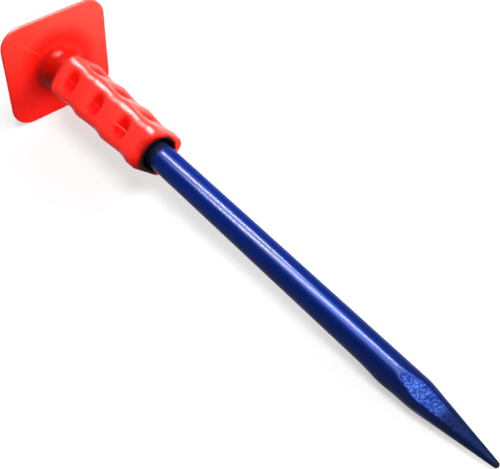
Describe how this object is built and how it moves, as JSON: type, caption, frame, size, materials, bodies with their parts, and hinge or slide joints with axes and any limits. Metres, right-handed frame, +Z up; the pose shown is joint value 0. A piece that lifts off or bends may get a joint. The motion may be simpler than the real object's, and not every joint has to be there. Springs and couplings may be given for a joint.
{
  "type": "pointed chisel",
  "caption": "Forged pointed cold chisel with a four-sided point and a soft lobed grip whose square plate guards the hand.",
  "frame": {"origin": "middle of the bottom of the part's box, on the surface that the tool lies on", "axes": "+X from the struck head to the point, +Z up, with the plate's lower edge and the heel of the point resting at Z = 0"},
  "size_m": [0.399, 0.079, 0.0787],
  "materials": {
    "blue_paint": "glossy blue paint over forged steel",
    "red_plastic": "smooth moulded red plastic"
  },
  "bodies": {
    "bar": {"chisel_bar": "blue_paint"},
    "guard": {"hand_guard": "red_plastic"}
  },
  "joints": [
    {"name": "guard_slide", "type": "slide", "parent": "bar", "child": "guard", "axis": [-0.9958, 0, 0.0912], "range_m": [0, 0.135]}
  ]
}
